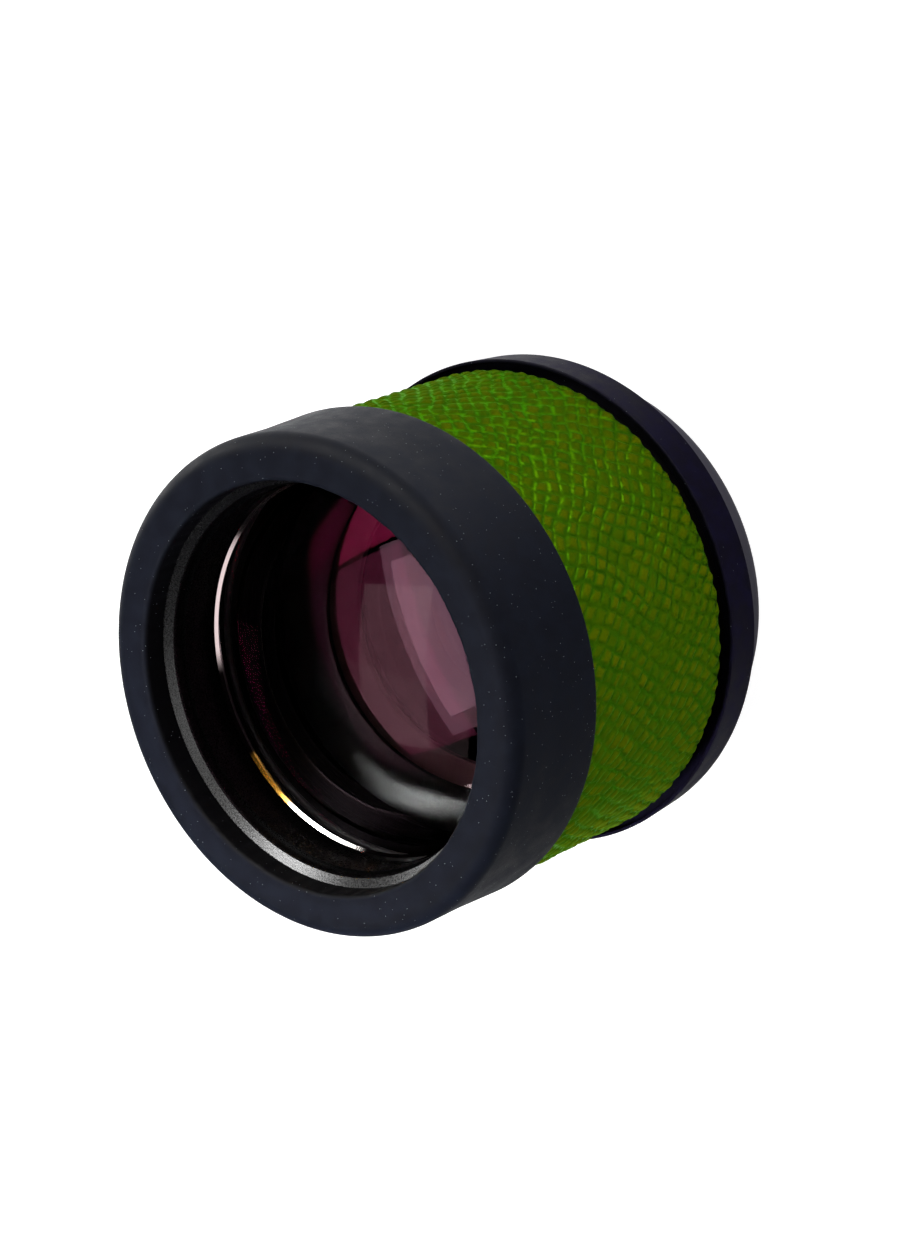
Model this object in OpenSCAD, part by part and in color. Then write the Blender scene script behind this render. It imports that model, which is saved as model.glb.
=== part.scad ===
// Watchmaker's loupe with a soft front guard, a leather-wrapped barrel and three groups of glass.
// It stands on its eye end: z = 0 is the eye-end face, +Z runs along the optical axis to the guard.

/* [Overall] */
// Length from the eye-end face to the front face of the guard
loupe_len = 46; // [44.5:0.5:60]
// Radial clearance of every turned fit
fit = 0.05; // [0.02:0.01:0.1]
// Gap left between faces that seat on each other
seat_gap = 0.02; // [0.01:0.01:0.05]

/* [Front glass] */
// Radius of the two front lenses
front_lens_r = 20.4; // [19.8:0.1:24]
// Depth of the front lens's polished bevel below the guard's front face
front_lens_recess = 9.7; // [9:0.1:13]
// Width of that bevel, measured along the radius
front_bevel = 0.7; // [0.3:0.1:1]
// Radius of curvature of the first front surface
front_curve = 50; // [44:1:90]
// Thickness of the front crown lens at its edge
front_crown_edge = 1.2; // [0.8:0.1:2.5]
// Radius of curvature of the cemented front surfaces
front_cement_curve = 70; // [65:1:120]
// Thickness of the front flint lens on the axis
front_flint_t = 2.6; // [1.5:0.1:3.5]
// Radius of curvature of the last front surface
front_back_curve = 250; // [150:10:600]
// Thickness of the cement between two lenses
cement_t = 0.03; // [0.02:0.01:0.06]

/* [Eye glass] */
// How much smaller than the front lenses the middle and eye lenses are, along the radius
eye_step = 3.7; // [3.2:0.1:5]
// Depth of the last eye surface inside the eye-end face
eye_lens_recess = 4.7; // [4.5:0.1:6]
// Radius of curvature of the last eye surface
eye_back_curve = 45; // [42:1:80]
// Thickness of the eye crown lens at its edge
eye_crown_edge = 1.4; // [0.8:0.1:2]
// Radius of curvature of the cemented eye surfaces
eye_cement_curve = 60; // [55:1:100]
// Thickness of the eye flint lens on the axis
eye_flint_t = 1.6; // [1.2:0.1:2]
// Radius of curvature of the hollow face of the eye flint lens
eye_flint_curve = 120; // [90:5:300]
// Thickness of the middle lens at its edge
middle_edge = 0.9; // [0.6:0.1:2]
// Radius of curvature of the middle lens towards the guard
middle_front_curve = 55; // [50:1:90]
// Radius of curvature of the middle lens towards the eye
middle_back_curve = 90; // [80:1:200]

/* [Rings round the glass] */
// Step from the front lens out to the retainer's thread
thread_step = 1.15; // [0.8:0.05:2]
// How far the retainer's rim reaches in over the front lens
retainer_rim = 1.25; // [0.9:0.05:2]
// Width of the retainer's visible chamfer, measured along the radius
retainer_chamfer = 1.1; // [0.6:0.1:1.3]
// Depth of the step in the retainer's bore below its top face
retainer_step = 1.95; // [1.2:0.05:2.5]
// Depth of the blackened relief below the same face
retainer_relief = 4.1; // [3:0.1:4.5]
// Width of the barrel's shoulder under the front glass
shoulder_w = 2.5; // [2:0.1:3]
// Thickness of that shoulder
shoulder_t = 1.7; // [1.4:0.1:2.5]
// How far the aperture stop reaches in over the middle lens
stop_rim = 3.5; // [2.5:0.1:6]
// Thickness of the aperture stop
stop_t = 0.6; // [0.4:0.1:0.8]
// How far the eye retainer reaches in over the eye glass
eye_rim = 2.5; // [1.5:0.1:3.5]
// Wall of the lens cell
cell_wall = 2.2; // [1.8:0.1:2.6]
// How far the cell's lip reaches in over the middle lens
cell_lip = 1.9; // [1:0.1:2.5]
// Thickness of that lip
cell_lip_t = 2.2; // [1:0.1:3]
// Wall of the baffle tube
baffle_wall = 1.6; // [1.3:0.1:2]
// Depth of the grooves turned inside the baffle tube
baffle_groove = 0.7; // [0.3:0.1:1]
// Spacing of those grooves
baffle_pitch = 0.8; // [0.6:0.1:1.5]
// Thickness of the sealing rings
seal_t = 1; // [0.8:0.1:1.2]

/* [Barrel] */
// Wall of the barrel outside the retainer's thread
barrel_wall = 1.5; // [1.2:0.1:3]
// Wall of the threaded spigot at the eye end
spigot_wall = 1.95; // [1.5:0.05:2.1]
// Depth of the grip grooves under the front guard
grip_groove = 0.25; // [0.1:0.05:0.4]
// Number of grip grooves
grip_count = 3; // [1:1:5]
// Radius of the lock screws that hold the lens cell
lock_screw_r = 1.25; // [1:0.05:1.5]
// Number of lock screws
lock_screw_count = 3; // [2:1:6]

/* [Front guard] */
// Length of the guard along the barrel
guard_len = 12.6; // [11:0.1:16]
// Wall of the guard's skirt at its free edge
guard_wall = 1.8; // [1.2:0.1:3]
// How much the skirt narrows towards the front
guard_draft = 0.23; // [0:0.01:0.5]
// Thickness of the lip in front of the barrel
guard_lip_t = 2.75; // [2:0.05:4]
// Radius of the guard's opening
guard_opening_r = 20.2; // [18:0.1:21]
// Rounding of the guard's outer front edge
guard_edge_r = 1.8; // [0.8:0.1:2]
// Rounding of the lip round the opening
guard_lip_r = 0.6; // [0.2:0.1:0.9]

/* [Leather wrap] */
// Thickness of the leather
leather_t = 1.3; // [0.8:0.05:1.6]
// Thickness of the adhesive film under it
adhesive_t = 0.12; // [0.05:0.01:0.3]
// Width of the butt seam along the hidden side
seam_w = 0.3; // [0.1:0.1:1]
// Angle of the seam round the axis
seam_angle = 100; // [0:5:355]
// Gap between the leather and the guard
leather_front_gap = 0.15; // [0.1:0.05:0.5]
// Gap between the leather and the rear collar
leather_rear_gap = 0.5; // [0.2:0.1:1.5]

/* [Rear collar and end ring] */
// Length of the rear collar
collar_len = 4.7; // [3.5:0.1:8]
// Wall of the rear collar at its eye side
collar_wall = 1.85; // [1.2:0.05:3]
// How much the collar widens towards the leather
collar_flare = 0.3; // [0:0.05:0.6]
// Thickness of the collar's thin lip towards the leather
collar_lip = 0.35; // [0.25:0.05:0.8]
// Depth of the groove behind that lip
collar_groove = 1.8; // [0.5:0.1:2.4]
// Thickness of the flange clamped behind the barrel
collar_flange_t = 1.7; // [1:0.1:2.5]
// Length of the end ring
end_ring_len = 6.3; // [5.5:0.1:9]
// Wall of the end ring round the spigot
end_ring_wall = 1.0; // [0.8:0.05:2]
// Rounding of the end ring's outer edge
end_ring_edge_r = 1.4; // [0.5:0.1:1.5]
// Thickness of the end ring's inner lip
end_lip_t = 2.6; // [2:0.1:3.2]
// How far the end ring's lip reaches in under the lens cell
end_lip_w = 2; // [1.5:0.1:2.5]
// How far the eye opening flares out to the end face
eye_flare = 2.3; // [1:0.1:2.4]

/* [Hidden] */
$fn = 128;
eps = 0.01;

// Depth of a spherical surface at radius r
function sag(curve, r) = curve - sqrt(curve * curve - r * r);

// Front glass, from the guard backwards
bevel_z = loupe_len - front_lens_recess;
bevel_r = front_lens_r - front_bevel;
front_apex_z = bevel_z + sag(front_curve, bevel_r);
front_cement_z = bevel_z - front_bevel - front_crown_edge - sag(front_cement_curve, front_lens_r);
front_cement_centre_z = front_cement_z + front_cement_curve;
front_back_z = front_cement_z - cement_t - front_flint_t;
lens_bore_r = front_lens_r + fit;
thread_r = front_lens_r + thread_step;
barrel_r = thread_r + fit + barrel_wall;

// Seat of the front glass in the barrel
shoulder_r = front_lens_r - shoulder_w;
seal_r = front_lens_r - 1;
front_seal_z = front_back_z + sag(front_back_curve, seal_r) - seat_gap - seal_t / 2;
seal_groove_w = seal_t + 0.3;
seal_proud = 0.3;
shoulder_z = front_seal_z + seal_t / 2 - seal_proud;
shoulder_back_z = shoulder_z - shoulder_t;
seal_groove_z = front_seal_z - seal_t / 2 - seat_gap;

// Barrel and guard
barrel_top_z = loupe_len - guard_lip_t;
pilot_len = 1.1;
thread_runout = 0.4;
thread_bottom_z = bevel_z + pilot_len;
guard_z = loupe_len - guard_len;
guard_bore_r = barrel_r + fit;
guard_skirt_r = guard_bore_r + guard_wall;
guard_front_r = guard_skirt_r - guard_draft;
retainer_bore_r = front_lens_r - retainer_rim;
retainer_mouth_r = retainer_bore_r + retainer_chamfer;
relief_w = 0.5;
relief_r = front_lens_r - relief_w;
step_w = 0.3;
free_edge_r = 0.3;
grip_pitch = 2;
grip_w = 0.9;
grip_start = 1.5;

// Eye glass, from the eye end forwards
eye_lens_r = front_lens_r - eye_step;
eye_bore_r = eye_lens_r + fit;
cell_r = eye_bore_r + cell_wall;
cell_bore_r = cell_r + fit;
eye_cement_z = eye_lens_recess + sag(eye_back_curve, eye_lens_r) + eye_crown_edge
               + sag(eye_cement_curve, eye_lens_r);
eye_cement_centre_z = eye_cement_z - eye_cement_curve;
eye_front_z = eye_cement_z + cement_t + eye_flint_t;
eye_land_w = 1.2;
eye_land_z = eye_front_z + sag(eye_flint_curve, eye_lens_r - eye_land_w);
spacer_t = 1.6;
stop_r = eye_lens_r - stop_rim;
stop_z = eye_land_z + seat_gap + spacer_t + seat_gap;
middle_back_z = stop_z + stop_t + seat_gap - sag(middle_back_curve, stop_r);
middle_front_z = middle_back_z + sag(middle_back_curve, eye_lens_r) + middle_edge
                 + sag(middle_front_curve, eye_lens_r);
cell_lip_r = eye_lens_r - cell_lip;
cell_lip_edge = 0.3;
cell_lip_z = middle_front_z - sag(middle_front_curve, cell_lip_r) + seat_gap;
cell_top_z = cell_lip_z + cell_lip_t;
cell_mouth_r = cell_r - baffle_wall;

// Eye end
spigot_r = cell_bore_r + spigot_wall;
end_bore_r = spigot_r + fit;
end_ring_r = end_bore_r + end_ring_wall;
end_seal_r = cell_bore_r - 0.8;
end_flare_t = 1.3;
eye_opening_r = cell_bore_r - end_lip_w;
end_groove_depth = seal_t - 0.1;
end_seal_z = end_lip_t - end_groove_depth + seal_t / 2 + seat_gap;
cell_z = end_seal_z + seal_t / 2 + seat_gap;
spigot_z = end_lip_t + 0.1;
collar_z = end_ring_len + seat_gap;
barrel_z = collar_z + collar_flange_t + seat_gap;
collar_r = barrel_r + fit + collar_wall;
slip_t = 0.8;
eye_clear_r = eye_lens_r - eye_rim;
slip_r = eye_clear_r + 0.2;
slip_top_z = eye_lens_recess + sag(eye_back_curve, slip_r) - seat_gap;
retainer_top_z = slip_top_z - slip_t - seat_gap;
eye_retainer_t = 3;
slot_w = 1.4;
slot_depth = 1;

// Leather and what lies under it
leather_z = collar_z + collar_len + leather_rear_gap;
leather_top_z = guard_z - leather_front_gap;
lock_screw_z = leather_z + 2.6;
lock_socket_depth = 1.2;
lock_groove_w = 2 * lock_screw_r + 0.2;
lock_groove = 0.8;
lock_clear = 0.05;
lock_inner_r = cell_r - lock_groove + lock_clear;
lock_outer_r = barrel_r - 0.3;

// Area between a corner at (r, z) and an arc that rounds it; dr and dz point out of the corner
module corner(r, z, rad, dr, dz) {
    difference() {
        translate([dr > 0 ? r - rad : r - eps, dz > 0 ? z - rad : z - eps]) square(rad + eps);
        translate([r - dr * rad, z - dz * rad]) circle(rad);
    }
}

// Sealing ring with a round section
module seal_ring(r, z) {
    translate([0, 0, z]) rotate_extrude() translate([r, 0]) circle(seal_t / 2, $fn = 48);
}

// Ball whose surface is one face of a lens
module face_ball(curve, centre_z) {
    translate([0, 0, centre_z]) sphere(curve, $fn = 360);
}

// Round blank that a lens is cut from, longer than the lens at both ends
module lens_blank(r, low_z, high_z) {
    translate([0, 0, low_z - 1]) cylinder(r = r, h = high_z - low_z + 2);
}

// Two opposite slots for a spanner, cut from a face at height z towards dir
module spanner_slots(r, z, dir) {
    for (a = [0, 180])
        rotate([0, 0, a])
            translate([r / 2, 0, z + dir * (slot_depth / 2 - eps)])
                cube([r, slot_w, slot_depth + eps], center = true);
}

module front_guard() {
    color("#1d2230")
        rotate_extrude()
            difference() {
                polygon([
                    [guard_bore_r, guard_z], [guard_skirt_r, guard_z],
                    [guard_front_r, loupe_len - guard_len / 2], [guard_front_r, loupe_len],
                    [guard_opening_r, loupe_len], [guard_opening_r, barrel_top_z + seat_gap],
                    [guard_bore_r, barrel_top_z + seat_gap]
                ]);
                corner(guard_front_r, loupe_len, guard_edge_r, 1, 1);
                corner(guard_skirt_r, guard_z, free_edge_r, 1, -1);
                corner(guard_opening_r, loupe_len, guard_lip_r, -1, 1);
            }
}

module front_retainer() {
    low_z = bevel_z - (relief_r - bevel_r) + seat_gap;
    thread_z = thread_bottom_z + thread_runout;
    step_z = barrel_top_z - retainer_step;
    relief_z = barrel_top_z - retainer_relief;
    color("#3c3d42")
        difference() {
            rotate_extrude()
                polygon([
                    [relief_r, low_z], [front_lens_r, low_z],
                    [front_lens_r, thread_z], [thread_r, thread_z],
                    [thread_r, barrel_top_z], [retainer_mouth_r, barrel_top_z],
                    [retainer_bore_r + step_w, barrel_top_z - retainer_chamfer / 2],
                    [retainer_bore_r + step_w, step_z], [retainer_bore_r, step_z],
                    [retainer_bore_r, relief_z], [relief_r, relief_z]
                ]);
            difference() {
                spanner_slots(2 * barrel_r, barrel_top_z, -1);
                cylinder(r = retainer_mouth_r + 0.2, h = loupe_len);
            }
        }
}

module front_crown_lens() {
    color("#5a2f4a", 0.5)
        intersection() {
            lens_blank(front_lens_r, front_cement_z, front_apex_z);
            face_ball(front_curve, front_apex_z - front_curve);
            face_ball(front_cement_curve, front_cement_centre_z);
            translate([0, 0, bevel_z - front_lens_r])
                cylinder(r1 = front_lens_r + bevel_r, r2 = 0, h = front_lens_r + bevel_r);
        }
}

module front_flint_lens() {
    color("#4a3550", 0.5)
        difference() {
            intersection() {
                lens_blank(front_lens_r, front_back_z, front_apex_z);
                face_ball(front_back_curve, front_back_z + front_back_curve);
            }
            face_ball(front_cement_curve + cement_t, front_cement_centre_z);
        }
}

module front_lens_seal() {
    color("#101012") seal_ring(seal_r, front_seal_z);
}

module barrel() {
    color("#17181b")
        difference() {
            rotate_extrude()
                polygon([
                    [cell_bore_r, spigot_z], [spigot_r, spigot_z], [spigot_r, barrel_z],
                    [barrel_r, barrel_z], [barrel_r, barrel_top_z],
                    [thread_r + fit, barrel_top_z], [thread_r + fit, thread_bottom_z],
                    [lens_bore_r, thread_bottom_z], [lens_bore_r, shoulder_z],
                    [shoulder_r, shoulder_z], [shoulder_r, shoulder_back_z],
                    [cell_bore_r, shoulder_back_z]
                ]);
            rotate_extrude()
                translate([seal_r - seal_groove_w / 2, seal_groove_z])
                    square([seal_groove_w, shoulder_z - seal_groove_z + eps]);
            for (i = [0 : grip_count - 1])
                rotate_extrude()
                    translate([barrel_r - grip_groove, guard_z + grip_start + i * grip_pitch])
                        square([grip_groove + 1, grip_w]);
            for (i = [0 : lock_screw_count - 1])
                rotate([0, 90, i * 360 / lock_screw_count])
                    translate([-lock_screw_z, 0, 0])
                        cylinder(r = lock_screw_r + fit, h = barrel_r + 1, $fn = 32);
        }
}

module leather_wrap() {
    color("#3f6b12")
        difference() {
            rotate_extrude()
                translate([barrel_r + adhesive_t, leather_z])
                    square([leather_t, leather_top_z - leather_z]);
            rotate([0, 0, seam_angle])
                translate([barrel_r, -seam_w / 2, 0]) cube([barrel_r, seam_w, loupe_len]);
        }
}

module leather_adhesive() {
    color("#c9b98a")
        difference() {
            rotate_extrude()
                translate([barrel_r + seat_gap, leather_z + 1])
                    square([adhesive_t - 2 * seat_gap, leather_top_z - leather_z - 2]);
            rotate([0, 0, seam_angle])
                translate([barrel_r - 1, -seam_w / 2, 0]) cube([barrel_r, seam_w, loupe_len]);
        }
}

module rear_collar() {
    top_z = collar_z + collar_len;
    groove_z = top_z - collar_groove;
    lip_r = collar_r + collar_flare - collar_lip;
    color("#1b1a2a")
        rotate_extrude()
            difference() {
                polygon([
                    [end_bore_r, collar_z], [collar_r, collar_z], [collar_r + collar_flare, top_z],
                    [lip_r, top_z], [lip_r, groove_z], [guard_bore_r, groove_z],
                    [guard_bore_r, barrel_z - seat_gap],
                    [end_bore_r, barrel_z - seat_gap]
                ]);
                corner(collar_r, collar_z, free_edge_r, 1, -1);
            }
}

// Grooves turned one after another leave sharp ribs that catch stray light
module baffle_tube() {
    low_z = cell_top_z + seat_gap;
    high_z = shoulder_back_z - seat_gap;
    grooves = floor((high_z - low_z - 0.4) / baffle_pitch);
    bore_r = cell_mouth_r;
    color("#0e0e10")
        difference() {
            rotate_extrude()
                translate([bore_r, low_z]) square([cell_r - bore_r, high_z - low_z]);
            for (i = [0 : 1 : grooves - 1])
                translate([0, 0, low_z + 0.2 + i * baffle_pitch])
                    rotate_extrude()
                        polygon([[bore_r - eps, 0], [bore_r + baffle_groove, baffle_pitch / 2],
                                 [bore_r - eps, baffle_pitch - 0.1]]);
        }
}

module lens_cell() {
    color("#141416")
        difference() {
            rotate_extrude()
                polygon([
                    [eye_bore_r, cell_z], [cell_r, cell_z], [cell_r, cell_top_z],
                    [cell_mouth_r, cell_top_z], [cell_lip_r, cell_lip_z + cell_lip_edge],
                    [cell_lip_r, cell_lip_z], [eye_bore_r, cell_lip_z]
                ]);
            rotate_extrude()
                translate([cell_r - lock_groove, lock_screw_z - lock_groove_w / 2])
                    square([lock_groove + 1, lock_groove_w]);
        }
}

module middle_lens() {
    color("#5a2f4a", 0.5)
        intersection() {
            lens_blank(eye_lens_r, middle_back_z, middle_front_z);
            face_ball(middle_front_curve, middle_front_z - middle_front_curve);
            face_ball(middle_back_curve, middle_back_z + middle_back_curve);
        }
}

module aperture_stop() {
    color("#0b0b0c")
        translate([0, 0, stop_z])
            difference() {
                cylinder(r = eye_lens_r, h = stop_t);
                translate([0, 0, -eps]) cylinder(r = stop_r, h = stop_t + 2 * eps);
            }
}

module eye_spacer() {
    color("#141416")
        rotate_extrude()
            polygon([
                [eye_lens_r - eye_land_w, eye_land_z + seat_gap], [eye_lens_r, eye_land_z + seat_gap],
                [eye_lens_r, stop_z - seat_gap], [stop_r + 0.8, stop_z - seat_gap]
            ]);
}

module eye_flint_lens() {
    color("#4a3550", 0.5)
        difference() {
            translate([0, 0, eye_lens_recess]) cylinder(r = eye_lens_r, h = eye_land_z - eye_lens_recess);
            face_ball(eye_cement_curve + cement_t, eye_cement_centre_z);
            face_ball(eye_flint_curve, eye_front_z + eye_flint_curve);
        }
}

module eye_crown_lens() {
    color("#5a2f4a", 0.5)
        intersection() {
            lens_blank(eye_lens_r, eye_lens_recess, eye_cement_z);
            face_ball(eye_cement_curve, eye_cement_centre_z);
            face_ball(eye_back_curve, eye_lens_recess + eye_back_curve);
        }
}

module eye_slip_ring() {
    color("#d8d6cf")
        translate([0, 0, slip_top_z - slip_t])
            difference() {
                cylinder(r = eye_lens_r, h = slip_t);
                translate([0, 0, -eps]) cylinder(r = slip_r, h = slip_t + 2 * eps);
            }
}

module eye_retainer() {
    color("#141416")
        difference() {
            translate([0, 0, retainer_top_z - eye_retainer_t])
                difference() {
                    cylinder(r = eye_lens_r, h = eye_retainer_t);
                    translate([0, 0, -eps])
                        cylinder(r1 = eye_clear_r + 0.8, r2 = eye_clear_r, h = eye_retainer_t + 2 * eps);
                }
            spanner_slots(2 * eye_lens_r, retainer_top_z - eye_retainer_t, 1);
        }
}

module lock_screws() {
    for (i = [0 : lock_screw_count - 1])
        rotate([0, 90, i * 360 / lock_screw_count])
            translate([-lock_screw_z, 0, lock_inner_r])
                color("#6d6f73")
                    difference() {
                        cylinder(r = lock_screw_r, h = lock_outer_r - lock_inner_r, $fn = 32);
                        translate([0, 0, lock_outer_r - lock_inner_r - lock_socket_depth])
                            cylinder(r = lock_screw_r / 2, h = 2, $fn = 6);
                    }
}

module end_ring() {
    color("#54525f")
        difference() {
            rotate_extrude()
                difference() {
                    polygon([
                        [eye_opening_r + eye_flare, 0], [end_ring_r, 0], [end_ring_r, end_ring_len],
                        [end_bore_r, end_ring_len], [end_bore_r, end_lip_t],
                        [eye_opening_r, end_lip_t], [eye_opening_r, end_flare_t]
                    ]);
                    corner(end_ring_r, 0, end_ring_edge_r, 1, -1);
                }
            rotate_extrude()
                translate([end_seal_r - seal_t / 2 - 0.1, end_lip_t - end_groove_depth])
                    square([seal_t + 0.2, end_groove_depth + eps]);
        }
}

module end_ring_seal() {
    color("#101012") seal_ring(end_seal_r, end_seal_z);
}

front_guard();
front_retainer();
front_crown_lens();
front_flint_lens();
front_lens_seal();
barrel();
leather_wrap();
leather_adhesive();
rear_collar();
baffle_tube();
lens_cell();
middle_lens();
aperture_stop();
eye_spacer();
eye_flint_lens();
eye_crown_lens();
eye_slip_ring();
eye_retainer();
lock_screws();
end_ring();
end_ring_seal();
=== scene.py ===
import math

import bmesh
import bpy
import numpy as np
from mathutils import Matrix, Vector


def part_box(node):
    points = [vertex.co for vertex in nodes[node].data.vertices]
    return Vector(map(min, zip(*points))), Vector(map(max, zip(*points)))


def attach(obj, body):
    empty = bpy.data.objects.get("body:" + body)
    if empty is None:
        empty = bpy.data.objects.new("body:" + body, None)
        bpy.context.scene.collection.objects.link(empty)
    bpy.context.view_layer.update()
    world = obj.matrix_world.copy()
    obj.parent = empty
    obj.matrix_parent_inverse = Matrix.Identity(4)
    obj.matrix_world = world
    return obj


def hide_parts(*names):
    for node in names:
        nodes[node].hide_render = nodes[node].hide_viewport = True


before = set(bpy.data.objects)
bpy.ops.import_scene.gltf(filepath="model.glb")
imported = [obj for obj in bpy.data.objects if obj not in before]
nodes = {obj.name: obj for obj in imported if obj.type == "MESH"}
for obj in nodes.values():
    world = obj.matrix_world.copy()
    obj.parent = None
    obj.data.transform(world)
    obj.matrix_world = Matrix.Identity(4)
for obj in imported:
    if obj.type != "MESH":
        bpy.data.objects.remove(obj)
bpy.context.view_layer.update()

MM = 0.001


# Sizes read from the frame, in millimetres

def reach(node):
    """Outer radius, lowest z and highest z of a turned node."""
    low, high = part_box(node)
    return high.x / MM, low.z / MM, high.z / MM


guard_r, guard_low, guard_top = reach("front_guard")
leather_r, leather_low, leather_top = reach("leather_wrap")
collar_r, collar_low, collar_top = reach("rear_collar")
barrel_r = reach("barrel")[0]
end_r = reach("end_ring")[0]


# Graphs of nodes, the same for materials and for Geometry Nodes

class Graph:
    """Adds nodes to one tree. A value may be a number, a tuple or another node's socket."""

    def __init__(self, tree):
        self.tree = tree

    def set(self, socket, value):
        if isinstance(value, bpy.types.NodeSocket):
            self.tree.links.new(value, socket)
        elif value is not None:
            socket.default_value = value

    def add(self, kind, inputs=None, **settings):
        node = self.tree.nodes.new(kind)
        for name, value in settings.items():
            setattr(node, name, value)
        for name, value in (inputs or {}).items():
            self.set(node.inputs[name], value)
        return node

    def math(self, operation, *values):
        return self.add("ShaderNodeMath", dict(enumerate(values)), operation=operation).outputs[0]

    def vector(self, operation, *values):
        node = self.add("ShaderNodeVectorMath", operation=operation)
        for number, value in enumerate(values):
            socket = node.inputs["Scale"] if operation == "SCALE" and number == 1 else node.inputs[number]
            self.set(socket, value)
        return node.outputs["Value" if operation in ("LENGTH", "DOT_PRODUCT") else "Vector"]

    def xyz(self, vector):
        node = self.add("ShaderNodeSeparateXYZ", {"Vector": vector})
        return node.outputs["X"], node.outputs["Y"], node.outputs["Z"]

    def join_xyz(self, x, y, z):
        return self.add("ShaderNodeCombineXYZ", {"X": x, "Y": y, "Z": z}).outputs["Vector"]

    def noise(self, vector, scale, detail=2.0, roughness=0.5, output="Factor"):
        node = self.add("ShaderNodeTexNoise", {"Vector": vector, "Scale": scale, "Detail": detail,
                                               "Roughness": roughness})
        return node.outputs[0 if output == "Factor" else "Color"]

    def random(self, vector):
        return self.add("ShaderNodeTexWhiteNoise", {"Vector": vector}, noise_dimensions="3D").outputs["Value"]

    def ramp(self, value, low, high, to_low=0.0, to_high=1.0, smooth=True):
        """Goes from to_low to to_high while the value goes from low to high."""
        node = self.add("ShaderNodeMapRange", {"Value": value, "From Min": low, "From Max": high,
                                               "To Min": to_low, "To Max": to_high},
                        interpolation_type="SMOOTHSTEP" if smooth else "LINEAR", clamp=True)
        return node.outputs["Result"]


MIX_FIRST_COLOUR = 6
MIX_SECOND_COLOUR = 7
MIX_COLOUR_OUT = 2


class Finish(Graph):
    """A material with one Principled shader. Its places are in millimetres, and its noise scales are in waves
    for each millimetre."""

    def __init__(self, name, **sockets):
        self.material = bpy.data.materials.new(name)
        self.material.use_nodes = True
        super().__init__(self.material.node_tree)
        self.shader = self.tree.nodes["Principled BSDF"]
        for socket, value in sockets.items():
            self.shader.inputs[socket.replace("_", " ")].default_value = value

    def feed(self, socket, value):
        """Gives one of the shader's sockets a value or a link."""
        self.set(self.shader.inputs[socket], value)

    def mix(self, factor, first, second):
        inputs = {"Factor": factor, MIX_FIRST_COLOUR: first, MIX_SECOND_COLOUR: second}
        return self.add("ShaderNodeMix", inputs, data_type="RGBA").outputs[MIX_COLOUR_OUT]

    def place(self):
        """Object coordinates in millimetres."""
        coordinates = self.add("ShaderNodeTexCoord").outputs["Object"]
        return self.vector("SCALE", coordinates, 1 / MM)

    def from_axis(self, place):
        """Distance of a place from the optical axis."""
        x, y, _ = self.xyz(place)
        return self.vector("LENGTH", self.join_xyz(x, y, 0.0))

    def bump(self, height, depth_mm, strength):
        node = self.add("ShaderNodeBump", {"Strength": strength, "Distance": depth_mm * MM, "Height": height})
        self.feed("Normal", node.outputs["Normal"])


WHITE = (1.0, 1.0, 1.0, 1.0)


def srgb(red, green, blue):
    """Linear colour of an 8-bit screen colour."""
    def linear(value):
        value /= 255
        return value / 12.92 if value <= 0.04045 else ((value + 0.055) / 1.055) ** 2.4
    return (linear(red), linear(green), linear(blue), 1.0)


def scaled(colour, share):
    """The colour made darker or lighter, still opaque."""
    return tuple(share * part for part in colour[:3]) + (1.0,)


# Grain of the leather, with lengths in millimetres on the flat sheet

GROOVE_A_ANGLE = -47.0
GROOVE_A_PITCH = 1.33
GROOVE_B_ANGLE = 58.0
GROOVE_B_PITCH = 1.62
WANDERINGS = (
    {"scale": 0.16, "detail": 1.0, "sway": 2.2},
    {"scale": 0.75, "detail": 2.0, "sway": 0.55},
)
ROW_SHIFT = 0.35
ROW_SEED = 3.7
PILLOW_SEED = 1.3
PILLOW_SIDE = 0.5
PILLOW_SPREAD = 0.35
GROOVE_BOTTOM = -0.04
CROSSING_BLEND = 0.3


def leather_grain(graph, place):
    """Pillow height from 0 to 1, and a random value for each pillow, at a place on the flat sheet in mm.
    Two families of slanting grooves cross. They wander, and each row is shifted along its groove."""
    bent = place
    for wandering in WANDERINGS:
        drift = graph.noise(place, wandering["scale"], detail=wandering["detail"], output="Color")
        drift = graph.vector("SUBTRACT", drift, (0.5, 0.5, 0.5))
        bent = graph.vector("ADD", bent, graph.vector("SCALE", drift, wandering["sway"]))

    def across(angle, pitch):
        normal = (-math.sin(math.radians(angle)) / pitch, math.cos(math.radians(angle)) / pitch, 0.0)
        return graph.vector("DOT_PRODUCT", bent, normal)

    def side(lines, pitch):
        within = graph.math("SUBTRACT", graph.math("FRACT", lines), 0.5)
        from_groove = graph.math("SUBTRACT", 0.5, graph.math("ABSOLUTE", within))
        return graph.math("MULTIPLY", from_groove, pitch)

    rows = across(GROOVE_A_ANGLE, GROOVE_A_PITCH)
    row = graph.math("FLOOR", rows)
    shift = graph.math("MULTIPLY", graph.random(graph.join_xyz(row, ROW_SEED, 0.0)), ROW_SHIFT)
    columns = graph.math("ADD", across(GROOVE_B_ANGLE, GROOVE_B_PITCH), shift)
    column = graph.math("FLOOR", columns)
    chance = graph.random(graph.join_xyz(row, column, PILLOW_SEED))

    along_a = side(rows, GROOVE_A_PITCH)
    along_b = side(columns, GROOVE_B_PITCH)
    nearest = graph.math("SMOOTH_MIN", along_a, along_b, CROSSING_BLEND)
    pillow = graph.ramp(nearest, GROOVE_BOTTOM, PILLOW_SIDE)
    fullness = graph.math("MULTIPLY_ADD", chance, PILLOW_SPREAD, 1 - PILLOW_SPREAD)
    return graph.math("MULTIPLY", pillow, fullness), chance


# Rubber

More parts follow.
